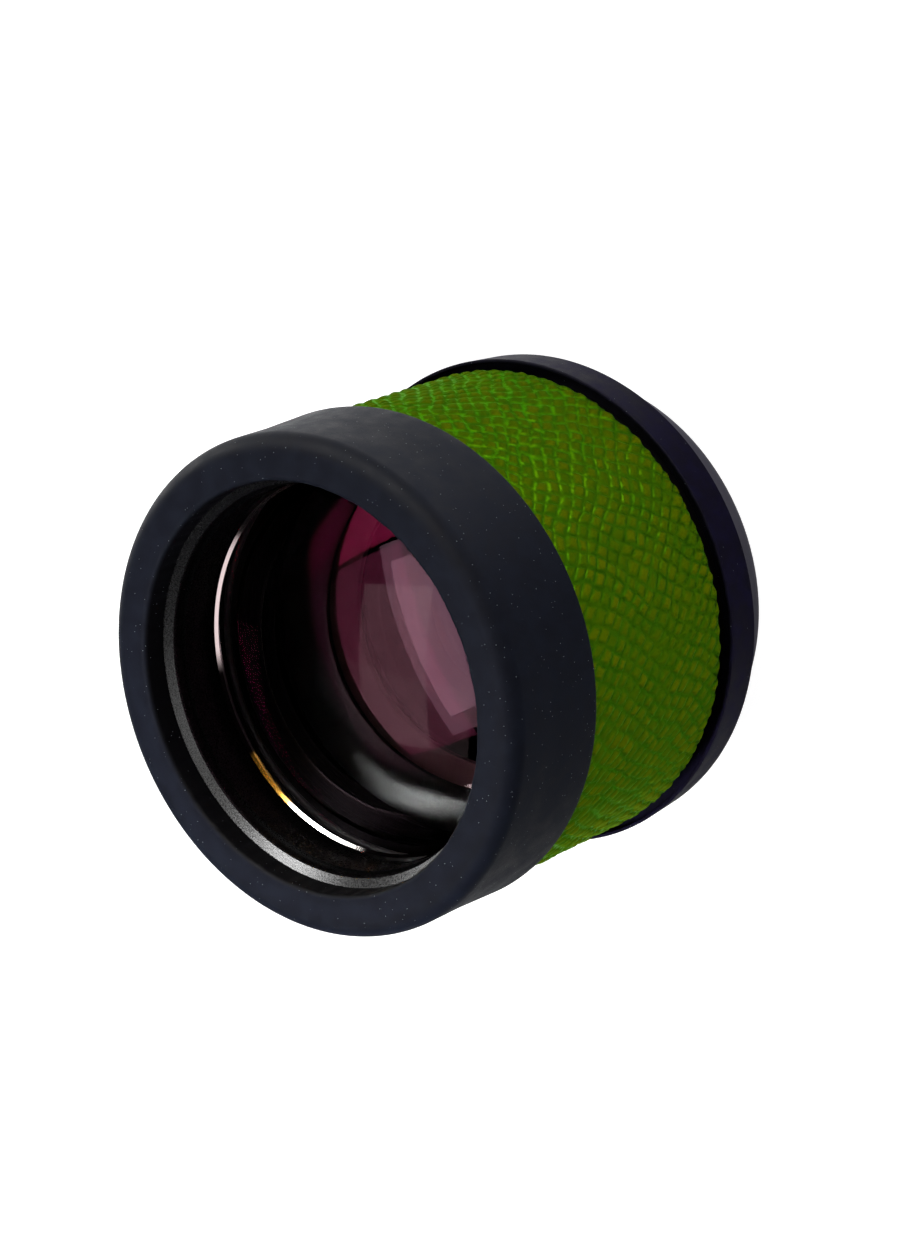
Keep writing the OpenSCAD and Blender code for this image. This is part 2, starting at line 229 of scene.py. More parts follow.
RUBBER_ROUGHNESS = (0.49, 0.65)
PAINTED_SHADE_RUBBER = srgb(5, 5, 7)
PAINTED_SHADE_BLEND = 0.35
DUST_COLOUR = srgb(120, 128, 132)
DUST_PER_MM = 2.4
DUST_CORE = 0.05
DUST_EDGE = 0.12
DUST_HEIGHT = 3.0
DUST_FADE = 0.9


def rubber(name, colour, worn, dust, specular, painted_shade_r=0.0):
    """Soft moulded rubber: mottled, finely pitted, with pale specks of dust in a share of the places for
    them. Within a given radius it is painted darker, a painted shade in an opening."""
    finish = Finish(name, Specular_IOR_Level=specular)
    place = finish.place()
    mottle = finish.noise(place, scale=0.5, detail=4.0, roughness=0.6)
    base = finish.mix(finish.ramp(mottle, 0.35, 0.7), colour, worn)
    # Painted shade: inside the radius the rubber takes a near-black colour, where the opening lies in shadow.
    out_of_painted_shade = finish.ramp(finish.from_axis(place), painted_shade_r, painted_shade_r + PAINTED_SHADE_BLEND)
    base = finish.mix(out_of_painted_shade, PAINTED_SHADE_RUBBER, base)
    speckle = finish.add("ShaderNodeTexVoronoi", {"Vector": place, "Scale": DUST_PER_MM, "Randomness": 1.0})
    draw = finish.xyz(speckle.outputs["Color"])[0]
    chosen = finish.ramp(draw, 1 - dust, 1 - dust * DUST_FADE, smooth=False)
    near = finish.ramp(speckle.outputs["Distance"], DUST_CORE, DUST_EDGE, 1.0, 0.0)
    speck = finish.math("MULTIPLY", chosen, near)
    finish.feed("Base Color", finish.mix(speck, base, DUST_COLOUR))
    finish.feed("Roughness", finish.ramp(mottle, 0.2, 0.8, *RUBBER_ROUGHNESS))
    pits = finish.noise(place, scale=9.0, detail=3.0, roughness=0.7)
    height = finish.math("ADD", pits, finish.math("MULTIPLY", speck, DUST_HEIGHT))
    finish.bump(height, depth_mm=0.02, strength=0.6)
    return finish.material


# Metal

SHADE_DARKNESS = 0.9
GRAIN_BRIGHTNESS = 1.6
GRAIN_ROUGHNESS = 0.12
BARREL_SKIN_R = 22.3
SKIN_METALLIC = 0.7
RETAINER_MATTE_Z = 42.4
MATTE_METALLIC = 0.85
BORDER = 0.05


def turned_metal(name, colour, roughness, metallic=0.0, blast=0.0, specular=0.5, lines=0.4, outside=None,
                 matte_below=None):
    """Metal turned on a lathe and anodised: fine rings round the axis, and a blasted grain. The barrel's
    outside has a second colour that shines a little. Below a given height the metal only reflects by its own
    dark colour, so it looks matte black."""
    finish = Finish(name, Metallic=metallic, Specular_IOR_Level=specular)
    place = finish.place()
    radius = finish.from_axis(place)
    z = finish.xyz(place)[2]
    rings = finish.noise(finish.join_xyz(radius, z, 0.0), scale=9.0, detail=3.0, roughness=0.7)
    grain = finish.noise(place, scale=6.0, detail=3.0, roughness=0.75)
    shade = finish.noise(place, scale=0.4, detail=3.0)
    tone = finish.mix(finish.ramp(shade, 0.3, 0.75), colour, scaled(colour, SHADE_DARKNESS))
    tone = finish.mix(finish.ramp(grain, 0.62, 0.75), tone, scaled(colour, GRAIN_BRIGHTNESS))
    if outside:
        skin = finish.ramp(radius, BARREL_SKIN_R - BORDER, BARREL_SKIN_R + BORDER)
        tone = finish.mix(skin, tone, outside)
        finish.feed("Metallic", finish.math("MULTIPLY", skin, SKIN_METALLIC))
    if matte_below:
        matte = finish.ramp(z, matte_below - BORDER, matte_below + BORDER, MATTE_METALLIC, 0.0)
        finish.feed("Metallic", matte)
    finish.feed("Base Color", tone)
    finish.feed("Roughness", finish.ramp(grain, 0.3, 0.7, roughness, roughness + GRAIN_ROUGHNESS))
    height = finish.math("ADD", finish.math("MULTIPLY", rings, lines), finish.math("MULTIPLY", grain, blast))
    finish.bump(height, depth_mm=0.02, strength=0.7)
    return finish.material


MOUTH_LOW = 18.96
MOUTH_HIGH = 20.86
MOUTH_MIDDLE = 20.15
MOUTH_UPHILL = Vector((2.55, 1.9)).normalized()
MOUTH_HOLLOW = 0.26
MOUTH_BORDER = 0.01


def coved_mouth(name, colour, roughness, specular):
    """Smooth black metal of the lens cell, with its conical mouth turned slightly hollow: the surface leans
    more the farther it is from the middle of the cone, in radians for each millimetre."""
    finish = Finish(name, Specular_IOR_Level=specular, Roughness=roughness, Base_Color=colour)
    x, y, z = finish.xyz(finish.place())
    outward = finish.vector("NORMALIZE", finish.join_xyz(x, y, 0.0))
    uphill = finish.vector("SCALE", outward, MOUTH_UPHILL.x)
    uphill = finish.vector("ADD", uphill, (0.0, 0.0, MOUTH_UPHILL.y))
    above = finish.ramp(z, MOUTH_LOW - MOUTH_BORDER, MOUTH_LOW + MOUTH_BORDER)
    below = finish.ramp(z, MOUTH_HIGH - MOUTH_BORDER, MOUTH_HIGH + MOUTH_BORDER, 1.0, 0.0)
    inside = finish.math("MULTIPLY", above, below)
    lean = finish.math("MULTIPLY", finish.math("SUBTRACT", MOUTH_MIDDLE, z), MOUTH_HOLLOW)
    leaning = finish.vector("SCALE", uphill, finish.math("MULTIPLY", lean, inside))
    normal = finish.add("ShaderNodeNewGeometry").outputs["Normal"]
    finish.feed("Normal", finish.vector("NORMALIZE", finish.vector("ADD", normal, leaning)))
    return finish.material


DULL_CORNER = srgb(20, 14, 16)
PAINTED_HIGHLIGHT_STRETCHES = (
    {"start": -10.0, "end": 76.0, "fade": 9.0, "metal": srgb(215, 195, 195)},
    {"start": 101.0, "end": 124.0, "fade": 2.0, "metal": srgb(235, 180, 80)},
    {"start": 120.0, "end": 152.0, "fade": 3.0, "metal": srgb(250, 246, 240)},
)


def edge_with_painted_highlights():
    """Corner of the retainer with painted highlights: bright metal along two stretches where the light falls,
    a painted golden reflection at the start of the second, and dull dark metal elsewhere. Their ends and
    fades are in degrees round the axis."""
    finish = Finish("painted_highlight_edge", Metallic=1.0, Roughness=0.12)
    x, y, _ = finish.xyz(finish.place())
    angle = finish.math("DEGREES", finish.math("ARCTAN2", y, x))
    tone = DULL_CORNER
    # Painted highlights: the metal is bright, and brassy for a golden reflection, only at the angles where
    # light catches the edge.
    for stretch in PAINTED_HIGHLIGHT_STRETCHES:
        start, end, fade = stretch["start"], stretch["end"], stretch["fade"]
        entered = finish.ramp(angle, start, start + fade)
        not_left = finish.ramp(angle, end - fade, end, 1.0, 0.0)
        tone = finish.mix(finish.math("MULTIPLY", entered, not_left), tone, stretch["metal"])
    finish.feed("Base Color", tone)
    return finish.material


# Glass

GLASS_INDEX = 1.5
COATING_INDEX = 1.22
COATING_NM = 112
COATING_FROM_INSIDE_NM = COATING_NM * GLASS_INDEX
FRONT_COATING = (0.56, 0.26, 0.38, 1.0)
MIDDLE_COATING = (0.95, 0.62, 0.68, 1.0)


def polished_glass(name, **coating):
    """Clear polished glass, with the sockets that its coating sets."""
    return Finish(name, Transmission_Weight=1.0, Roughness=0.0, IOR=GLASS_INDEX, **coating).material


def coated_glass(name, tint):
    """Glass with a coating that reflects a little coloured light."""
    return polished_glass(name, Specular_Tint=tint, Base_Color=WHITE)


def bloomed_glass(name, film_nm):
    """Glass with a quarter-wave coating that lets nearly all light through."""
    return polished_glass(name, Thin_Film_Thickness=film_nm, Thin_Film_IOR=COATING_INDEX)


# Small inner pieces

MOTTLE_DARKNESS = 0.7


def plain_finish(name, colour, roughness, metallic=0.0, specular=0.5):
    """An even colour with a soft mottle and fine grain."""
    finish = Finish(name, Metallic=metallic, Specular_IOR_Level=specular)
    place = finish.place()
    mottle = finish.noise(place, scale=1.2, detail=4.0)
    darker = scaled(colour, MOTTLE_DARKNESS)
    finish.feed("Base Color", finish.mix(finish.ramp(mottle, 0.3, 0.7), colour, darker))
    finish.feed("Roughness", finish.ramp(mottle, 0.2, 0.8, roughness - 0.05, roughness + 0.1))
    pores = finish.noise(place, scale=12.0, detail=3.0, roughness=0.7)
    finish.bump(pores, depth_mm=0.015, strength=0.5)
    return finish.material


# Leather

GROOVE_GREEN = srgb(50, 90, 5)
PILLOW_GREEN = srgb(66, 88, 1)
PILLOW_OLIVE = srgb(86, 96, 2)
CLOUD_GREEN = srgb(72, 94, 1)
FLECK_GREEN = srgb(43, 77, 1)
LEATHER_METALLIC = 0.05
GLINT_METALLIC = 0.7
LEATHER_ROUGHNESS = (0.28, 0.46)
FIBRE_IN_BLOTCHES = 0.9
PILLOWS_IN_BLOTCHES = 0.7
FIBRE_IN_BUMP = 0.25


def grained_leather():
    """Green leather with an embossed cross grain: olive on the pillows, darker green in the grooves, and
    glints along some of the grooves."""
    finish = Finish("green_leather", Specular_IOR_Level=0.0, Specular_Tint=(0.4, 0.7, 0.3, 1.0),
                    Sheen_Weight=0.2, Sheen_Roughness=0.35, Sheen_Tint=(0.3, 0.8, 0.08, 1.0))
    sheet = finish.add("ShaderNodeAttribute", attribute_name="flat_place").outputs["Vector"]
    height, chance = leather_grain(finish, sheet)
    fibre = finish.noise(sheet, scale=5.0, detail=4.0, roughness=0.65)
    cloud = finish.noise(sheet, scale=0.35, detail=3.0)
    flecks = finish.noise(sheet, scale=8.0, detail=3.0, roughness=0.7)

    glints = finish.ramp(finish.noise(sheet, scale=1.1), 0.4, 0.6)
    shine = finish.math("MULTIPLY", glints, finish.ramp(height, 0.1, 0.5, GLINT_METALLIC, 0.0))
    finish.feed("Metallic", finish.math("ADD", shine, LEATHER_METALLIC))

    blotch = finish.math("ADD", finish.math("MULTIPLY", fibre, FIBRE_IN_BLOTCHES),
                         finish.math("MULTIPLY", height, PILLOWS_IN_BLOTCHES))
    top = finish.mix(chance, PILLOW_GREEN, PILLOW_OLIVE)
    tone = finish.mix(finish.ramp(blotch, 0.55, 1.15), GROOVE_GREEN, top)
    tone = finish.mix(finish.ramp(cloud, 0.35, 0.7, 0.0, 0.4), tone, CLOUD_GREEN)
    finish.feed("Base Color", finish.mix(finish.ramp(flecks, 0.5, 0.68, 0.0, 0.5), tone, FLECK_GREEN))

    finish.feed("Roughness", finish.ramp(fibre, 0.3, 0.7, *LEATHER_ROUGHNESS))
    finish.bump(finish.math("MULTIPLY_ADD", fibre, FIBRE_IN_BUMP, height), depth_mm=0.1, strength=1.0)
    return finish.material


# The finishes of this loupe

GUARD_OPENING_R = 20.2

MATERIALS = {
    "guard_rubber": rubber("guard_rubber", srgb(13, 15, 23), srgb(16, 19, 28), dust=0.3, specular=0.035,
                           painted_shade_r=GUARD_OPENING_R),
    "collar_rubber": rubber("collar_rubber", srgb(11, 8, 22), srgb(15, 12, 33), dust=0.15, specular=0.03),
    "retainer_metal": turned_metal("retainer_metal", srgb(7, 7, 8), roughness=0.22, blast=1.0, lines=0.2,
                                   matte_below=RETAINER_MATTE_Z),
    "black_metal": turned_metal("black_metal", srgb(7, 6, 7), roughness=0.45, specular=0.1),
    "barrel_black": turned_metal("barrel_black", srgb(4, 3, 4), roughness=0.45, specular=0.0,
                                 outside=srgb(34, 32, 36)),
    "baffle_black": turned_metal("baffle_black", srgb(4, 3, 4), roughness=0.6, specular=0.0),
    # Painted reflection: the aperture stop is a pale mauve that stands in for the pink light of the lens
    # coatings seen through the glass.
    "stop_painted_pink": turned_metal("stop_painted_pink", srgb(88, 60, 66), roughness=0.6, specular=0.05),
    "cell_metal": coved_mouth("cell_metal", srgb(6, 5, 6), roughness=0.2, specular=0.14),
    "painted_highlight_edge": edge_with_painted_highlights(),
    "satin_metal": turned_metal("satin_metal", srgb(96, 94, 106), roughness=0.34, metallic=0.8, blast=0.4),
    "front_glass": coated_glass("front_glass", FRONT_COATING),
    "back_glass": bloomed_glass("back_glass", COATING_FROM_INSIDE_NM),
    "middle_glass": coated_glass("middle_glass", MIDDLE_COATING),
    "eye_glass": bloomed_glass("eye_glass", COATING_NM),
    "lens_edge_black": plain_finish("lens_edge_black", srgb(6, 5, 6), roughness=0.6, specular=0.1),
    "adhesive_film": plain_finish("adhesive_film", srgb(120, 92, 40), roughness=0.4),
    "seal_rubber": plain_finish("seal_rubber", srgb(22, 22, 24), roughness=0.6, specular=0.3),
    "slip_plastic": plain_finish("slip_plastic", srgb(36, 36, 40), roughness=0.45),
    "screw_steel": plain_finish("screw_steel", srgb(150, 150, 155), roughness=0.3, metallic=1.0),
    "green_leather": grained_leather(),
}

NODE_FINISHES = {
    "front_retainer": "retainer_metal",
    "front_lens_seal": "seal_rubber",
    "barrel": "barrel_black",
    "leather_adhesive": "adhesive_film",
    "baffle_tube": "baffle_black",
    "lens_cell": "cell_metal",
    "middle_lens": "middle_glass",
    "aperture_stop": "stop_painted_pink",
    "eye_spacer": "black_metal",
    "eye_flint_lens": "eye_glass",
    "eye_crown_lens": "eye_glass",
    "eye_slip_ring": "slip_plastic",
    "eye_retainer": "black_metal",
    "lock_screws": "screw_steel",
    "end_ring": "satin_metal",
    "end_ring_seal": "seal_rubber",
}


def finish_frame():
    """Gives each carried-over node its material."""
    for node, finish in NODE_FINISHES.items():
        nodes[node].data.materials.clear()
        nodes[node].data.materials.append(MATERIALS[finish])


# Turned pieces

def add_piece(name, mesh, body, finish, *replaced, slot=None):
    """Links a finished mesh as a piece of the object. Its slot has the finish's name when the mesh has no
    material yet; the slot argument is not used."""
    piece = bpy.data.objects.new(name, mesh)
    bpy.context.scene.collection.objects.link(piece)
    if not mesh.materials:
        mesh.materials.append(MATERIALS[finish])
    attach(piece, body)
    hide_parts(*replaced)
    return piece


def arc(r, z, radius, start, end, steps):
    """Points of a round corner in a profile, by its centre and its angles in degrees."""
    angles = np.radians(np.linspace(start, end, steps))
    return [(r + radius * math.cos(a), z + radius * math.sin(a)) for a in angles]


TAPER_SHARES = np.linspace(0.1, 1, 8)


def taper(low, high):
    """Points of a tapered wall that goes on from its lower (r, z) corner to the upper one."""
    return [(low[0] + (high[0] - low[0]) * share, low[1] + (high[1] - low[1]) * share)
            for share in TAPER_SHARES]


def waves(angle, parts):
    """Height of a rim's unevenness in mm: a sum of sines, each with its height, crests and start angle."""
    return sum(height * math.sin(crests * angle + start) for height, crests, start in parts)


WELD_MM = 0.0005
TURNED_CREASE = math.radians(35)


def revolve(name, profile, turns, ripple=None, bands=None):
    """Closed solid turned from a profile of (r, z) points in mm, given anticlockwise.
    ripple(angle, r, z) may move a point along the radius and the axis, and bands numbers the material of
    each stretch of the profile."""
    angles = np.linspace(0, 2 * math.pi, turns, endpoint=False)
    points = []
    for angle in angles:
        for r, z in profile:
            dr, dz = ripple(angle, r, z) if ripple else (0.0, 0.0)
            points.append(((r + dr) * math.cos(angle) * MM, (r + dr) * math.sin(angle) * MM, (z + dz) * MM))
    count = len(profile)
    faces = []
    for turn in range(turns):
        here, there = turn * count, (turn + 1) % turns * count
        for step in range(count):
            ahead = (step + 1) % count
            faces.append((here + step, there + step, there + ahead, here + ahead))
    mesh = bpy.data.meshes.new(name)
    mesh.from_pydata(points, [], faces)
    if bands:
        mesh.polygons.foreach_set("material_index", bands * turns)
    shell = bmesh.new()
    shell.from_mesh(mesh)
    bmesh.ops.remove_doubles(shell, verts=shell.verts, dist=WELD_MM * MM)
    bmesh.ops.recalc_face_normals(shell, faces=shell.faces)
    shell.to_mesh(mesh)
    shell.free()
    mesh.shade_smooth()
    mesh.set_sharp_from_angle(angle=TURNED_CREASE)
    return mesh


SOFT_CLEARANCE = 0.05

GUARD_BORE_R = barrel_r + SOFT_CLEARANCE
GUARD_EDGE_R = 1.8
GUARD_REAR_R = 0.25
GUARD_DRAFT = 0.23
GUARD_LIP_T = 2.73
GUARD_LIP_R = 0.6
GUARD_LIP_BACK_R = 0.2
GUARD_FACE_RADII = (22.0, 21.4)
GUARD_OPENING_DEPTH = 1.2
GUARD_WALL_RINGS = 6
GUARD_RIM_W = 0.9
GUARD_RIM_ABOVE = 0.1
GUARD_WAVES = ((0.025, 23, 1.3), (0.02, 61, 0.0), (0.015, 97, 2.0))


def make_guard():
    """Moulded rubber guard: a tapered skirt, a rounded front edge and a lip with a slightly uneven rim."""
    front_r = guard_r - GUARD_DRAFT
    rear_edge_r = guard_r - GUARD_REAR_R
    skirt_low = guard_low + GUARD_REAR_R
    skirt_top = guard_low + (guard_top - guard_low) / 2
    edge_low = guard_top - GUARD_EDGE_R
    lip_low = guard_top - GUARD_LIP_T
    profile = [(GUARD_BORE_R, guard_low), (rear_edge_r, guard_low)]
    profile += arc(rear_edge_r, skirt_low, GUARD_REAR_R, -90, 0, steps=6)
    profile += taper((guard_r, skirt_low), (front_r, skirt_top))
    profile += [(front_r, z) for z in np.linspace(skirt_top, edge_low, GUARD_WALL_RINGS)[1:-1]]
    profile += arc(front_r - GUARD_EDGE_R, edge_low, GUARD_EDGE_R, 0, 90, steps=18)
    profile += [(r, guard_top) for r in GUARD_FACE_RADII]
    profile += arc(GUARD_OPENING_R + GUARD_LIP_R, guard_top - GUARD_LIP_R, GUARD_LIP_R, 90, 180, steps=10)
    profile += [(GUARD_OPENING_R, guard_top - GUARD_OPENING_DEPTH),
                (GUARD_OPENING_R, lip_low + GUARD_LIP_BACK_R)]
    profile += arc(GUARD_OPENING_R + GUARD_LIP_BACK_R, lip_low + GUARD_LIP_BACK_R, GUARD_LIP_BACK_R, 180, 270,
                   steps=5)
    profile += [(GUARD_BORE_R, lip_low)]

    def ripple(angle, r, z):
        near_rim = max(0.0, 1 - (r - GUARD_OPENING_R) / GUARD_RIM_W) * (z > lip_low + GUARD_RIM_ABOVE)
        return near_rim * waves(angle, GUARD_WAVES), 0.0

    mesh = revolve("soft_front_guard", profile, turns=480, ripple=ripple)
    return add_piece("soft_front_guard", mesh, "guard", "guard_rubber", "front_guard")


COLLAR_BORE_R = barrel_r + SOFT_CLEARANCE
COLLAR_FLANGE_R = 21.05
COLLAR_FLANGE_T = 1.7
COLLAR_REAR_R = 0.3
COLLAR_FLARE = 0.3
COLLAR_RIM_T = 0.15
COLLAR_RIM_R = 0.12
COLLAR_LIP = 0.35
COLLAR_LIP_R = 0.1
COLLAR_GROOVE = 1.8
COLLAR_RIPPLE_T = 0.6
COLLAR_RIPPLE_MARGIN = 0.05
COLLAR_WAVES = ((0.02, 47, 0.0), (0.015, 113, 0.7))
COLLAR_WAVES_LOW = 0.035


def make_collar():
    """Rubber rear collar, wider towards the leather, with a deep groove behind its thin lip."""
    lip_inner = collar_r - COLLAR_LIP
    narrow_r = collar_r - COLLAR_FLARE
    wall_low = collar_low + COLLAR_REAR_R
    flange_top = collar_low + COLLAR_FLANGE_T
    groove_low = collar_top - COLLAR_GROOVE
    profile = [(COLLAR_FLANGE_R, collar_low), (narrow_r - COLLAR_REAR_R, collar_low)]
    profile += arc(narrow_r - COLLAR_REAR_R, wall_low, COLLAR_REAR_R, -90, 0, steps=6)
    profile += taper((narrow_r, wall_low), (collar_r, collar_top - COLLAR_RIM_T))
    profile += arc(collar_r - COLLAR_RIM_R, collar_top - COLLAR_RIM_R, COLLAR_RIM_R, 0, 90, steps=5)
    profile += arc(lip_inner + COLLAR_LIP_R, collar_top - COLLAR_LIP_R, COLLAR_LIP_R, 90, 180, steps=5)
    profile += [(lip_inner, groove_low), (COLLAR_BORE_R, groove_low), (COLLAR_BORE_R, flange_top),
                (COLLAR_FLANGE_R, flange_top)]

    def ripple(angle, r, z):
        near_lip = max(0.0, 1 - (collar_top - z) / COLLAR_RIPPLE_T) * (r > lip_inner - COLLAR_RIPPLE_MARGIN)
        return 0.0, near_lip * (waves(angle, COLLAR_WAVES) - COLLAR_WAVES_LOW)

    mesh = revolve("soft_rear_collar", profile, turns=480, ripple=ripple)
    return add_piece("soft_rear_collar", mesh, "housing", "collar_rubber", "rear_collar")


FRONT_LENS_R = 20.4
FRONT_LENS_BEVEL = 0.7
FRONT_CURVE = 50.0
FRONT_BACK_CURVE = 250.0
LENS_FACE_POINTS = 48


def lens_face(curve, apex, rim, rise):
    """Points of a spherical lens face from its axis to its rim. rise is 1 where the rim is above the apex."""
    return [(r, apex + rise * (curve - math.sqrt(curve ** 2 - r ** 2)))
            for r in np.linspace(0, rim, LENS_FACE_POINTS)]


def make_front_doublet():
    """Crown and flint cemented into one lens: a domed front, a bevel, a blackened edge and a flatter back."""
    front_apex = reach("front_crown_lens")[2]
    back_apex = reach("front_flint_lens")[1]
    front = lens_face(FRONT_CURVE, front_apex, FRONT_LENS_R - FRONT_LENS_BEVEL, -1)
    back = lens_face(FRONT_BACK_CURVE, back_apex, FRONT_LENS_R, 1)
    bevel_z = front[-1][1]
    profile = back + [(FRONT_LENS_R, bevel_z - FRONT_LENS_BEVEL)] + front[::-1]
    front_band, back_band, edge_band = range(3)
    bands = [back_band] * (len(back) - 1) + [edge_band, edge_band] + [front_band] * len(front)
    mesh = revolve("front_doublet", profile, turns=240, bands=bands)
    for finish in ("front_glass", "back_glass", "lens_edge_black"):
        mesh.materials.append(MATERIALS[finish])
    return add_piece("front_doublet", mesh, "housing", None, "front_crown_lens", "front_flint_lens",
                     slot="coated_glass")


RETAINER_EDGE_R = 19.15
RETAINER_EDGE_Z = 36.62
RETAINER_EDGE_W = 0.3


def make_retainer_edge():
    """Corner of the retainer where it bears on the front lens, bright only where its highlights are painted.
    """
    inner = RETAINER_EDGE_R - RETAINER_EDGE_W
    top = RETAINER_EDGE_Z + RETAINER_EDGE_W
    profile = [(inner, RETAINER_EDGE_Z), (RETAINER_EDGE_R, RETAINER_EDGE_Z), (RETAINER_EDGE_R, top)]
    mesh = revolve("retainer_highlight_edge", profile, turns=360)
    return add_piece("retainer_highlight_edge", mesh, "housing", "painted_highlight_edge", slot="retainer_metal")


# Leather wrap, made as a flat sheet that is embossed and wrapped round the barrel

LEATHER_T = 1.3
LEATHER_SEAM_W = 0.3
LEATHER_SEAM_ANGLE = math.radians(100)
LEATHER_COLUMNS = 790
LEATHER_ROWS = 112
LEATHER_CREASE = math.radians(60)
LEATHER_RELIEF = 0.2
LEATHER_ROLL_W = 0.45
LEATHER_ROLL_DEPTH = 0.16
LEATHER_SWELL_SCALE = 0.22
LEATHER_SWELL = 0.08
CUT_WAVINESS = 0.8
CUT_WAVE_SCALE = 0.28
CUT_SEED = 7.0
CUT_FADE = 1.6


def flat_leather(length, width):
    """The leather as a flat sheet in mm: x runs round the barrel, y along it, z is 0 inside and 1 outside.
    The outside is a fine grid, and the cut edges and the inside are wide faces."""
    columns = np.linspace(0, length, LEATHER_COLUMNS)
    rows = np.linspace(0, width, LEATHER_ROWS)
    outside = [(x, y, 1.0) for y in rows for x in columns]
    inside = [(x, y, 0.0) for y in (0.0, width) for x in columns]
    base = len(outside)
    faces = []
    for row in range(LEATHER_ROWS - 1):
        for column in range(LEATHER_COLUMNS - 1):
            corner = row * LEATHER_COLUMNS + column
            faces.append((corner, corner + 1, corner + LEATHER_COLUMNS + 1, corner + LEATHER_COLUMNS))
    last_row = (LEATHER_ROWS - 1) * LEATHER_COLUMNS
    for column in range(LEATHER_COLUMNS - 1):
        low = base + column
        high = low + LEATHER_COLUMNS
        faces.append((low, high, high + 1, low + 1))
        faces.append((low, low + 1, column + 1, column))
        faces.append((high + 1, high, last_row + column, last_row + column + 1))
    start = [row * LEATHER_COLUMNS for row in range(LEATHER_ROWS)]
    faces.append((base, *start, base + LEATHER_COLUMNS))
    end = [corner + LEATHER_COLUMNS - 1 for corner in start]
    faces.append((base + 2 * LEATHER_COLUMNS - 1, *end[::-1], base + LEATHER_COLUMNS - 1))
    mesh = bpy.data.meshes.new("leather_wrap_grained")
    mesh.from_pydata(outside + inside, [], faces)
    return mesh


def wrapping_tree():
    """Geometry Nodes that emboss the flat sheet, roll its edges and wrap it round the barrel."""
    tree = bpy.data.node_groups.new("emboss_and_wrap", "GeometryNodeTree")
    tree.interface.new_socket("Geometry", in_out="INPUT", socket_type="NodeSocketGeometry")
    sizes = ["Inner Radius", "Outer Radius", "Rear Edge", "Width", "Seam Angle", "Seam Width", "Relief",
             "Cut Waviness"]
    for size in sizes:
        tree.interface.new_socket(size, in_out="INPUT", socket_type="NodeSocketFloat")
    tree.interface.new_socket("Leather", in_out="INPUT", socket_type="NodeSocketMaterial")
    tree.interface.new_socket("Geometry", in_out="OUTPUT", socket_type="NodeSocketGeometry")
    graph = Graph(tree)
    given = graph.add("NodeGroupInput").outputs
    flat = graph.add("GeometryNodeInputPosition").outputs["Position"]
    x, y, outer = graph.xyz(flat)
    kept = graph.add("GeometryNodeStoreNamedAttribute", {"Geometry": given["Geometry"], "Name": "flat_place"},
                     data_type="FLOAT_VECTOR", domain="POINT")
    graph.set(kept.inputs["Value"], flat)

    place = graph.join_xyz(x, y, 0.0)
    height = leather_grain(graph, place)[0]
    from_front = graph.math("SUBTRACT", given["Width"], y)
    from_edge = graph.math("MINIMUM", y, from_front)
    rolled = graph.math("MULTIPLY", graph.ramp(from_edge, 0.0, LEATHER_ROLL_W, 1.0, 0.0), LEATHER_ROLL_DEPTH)
    embossed = graph.math("MULTIPLY", graph.math("SUBTRACT", 1.0, height), given["Relief"])
    swell = graph.math("SUBTRACT", 1.0, graph.noise(place, LEATHER_SWELL_SCALE))
    swell = graph.math("MULTIPLY", swell, LEATHER_SWELL)
    sunk = graph.math("ADD", graph.math("ADD", embossed, swell), rolled)
    shell_t = graph.math("SUBTRACT", given["Outer Radius"], given["Inner Radius"])
    above = graph.math("MULTIPLY", graph.math("SUBTRACT", shell_t, sunk), outer)
    radius = graph.math("ADD", given["Inner Radius"], above)

    wave = graph.noise(graph.join_xyz(x, CUT_SEED, 0.0), CUT_WAVE_SCALE, detail=3.0, roughness=0.6)
    wave = graph.math("MULTIPLY", graph.math("SUBTRACT", wave, 0.5), given["Cut Waviness"])
    wave = graph.math("MULTIPLY", wave, graph.ramp(y, 0.0, CUT_FADE, 1.0, 0.0))
    along = graph.math("ADD", graph.math("ADD", y, given["Rear Edge"]), wave)

    half_gap = graph.math("DIVIDE", given["Seam Width"], graph.math("MULTIPLY", given["Outer Radius"], 2.0))
    angle = graph.math("DIVIDE", x, given["Outer Radius"])
    angle = graph.math("ADD", graph.math("ADD", angle, half_gap), given["Seam Angle"])
    wrapped = graph.join_xyz(graph.math("MULTIPLY", radius, graph.math("COSINE", angle)),
                             graph.math("MULTIPLY", radius, graph.math("SINE", angle)), along)
    moved = graph.add("GeometryNodeSetPosition", {"Geometry": kept.outputs["Geometry"],
                                                  "Position": graph.vector("SCALE", wrapped, MM)})
    real = graph.add("GeometryNodeRealizeInstances", {"Geometry": moved.outputs["Geometry"]})
    dyed = graph.add("GeometryNodeSetMaterial", {"Geometry": real.outputs["Geometry"],
                                                 "Material": given["Leather"]})
    graph.add("NodeGroupOutput", {"Geometry": dyed.outputs["Geometry"]})
    return tree


def apply_tree(mesh, tree, values):
    """Runs a Geometry Nodes tree over a mesh with named inputs and returns the plain result."""
    carrier = bpy.data.objects.new(mesh.name, mesh)
    bpy.context.scene.collection.objects.link(carrier)
    modifier = carrier.modifiers.new("build", "NODES")
    modifier.node_group = tree
    for socket in tree.interface.items_tree:
        if socket.name in values:
            modifier[socket.identifier] = values[socket.name]
    result = bpy.data.meshes.new_from_object(carrier.evaluated_get(bpy.context.evaluated_depsgraph_get()))
    carrier.modifiers.clear()
    bpy.data.objects.remove(carrier)
    return result


